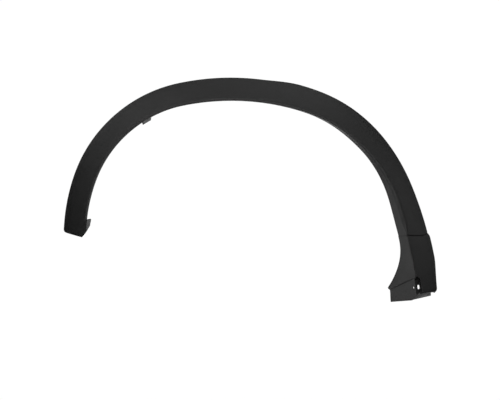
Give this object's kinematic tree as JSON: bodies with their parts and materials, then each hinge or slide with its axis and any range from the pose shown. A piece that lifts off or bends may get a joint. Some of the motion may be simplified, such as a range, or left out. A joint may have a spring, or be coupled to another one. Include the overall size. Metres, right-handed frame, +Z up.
{
  "type": "wheel arch trim",
  "caption": "Black moulded plastic wheel arch trim that curves over a car's front wheel opening, with a short front leg and a long rear leg ending in a foot",
  "frame": {"origin": "midway between the two crown clip holes, on the plane in which the clip seats meet the wing", "axes": "+X along the car toward its rear, +Y into the car's body, away from a person beside the car, +Z up"},
  "size_m": [1.0133, 0.1292, 0.6011],
  "materials": {
    "trim": "fine-grained matte"
  },
  "bodies": {
    "root": {"arch_trim": "trim"}
  },
  "joints": []
}
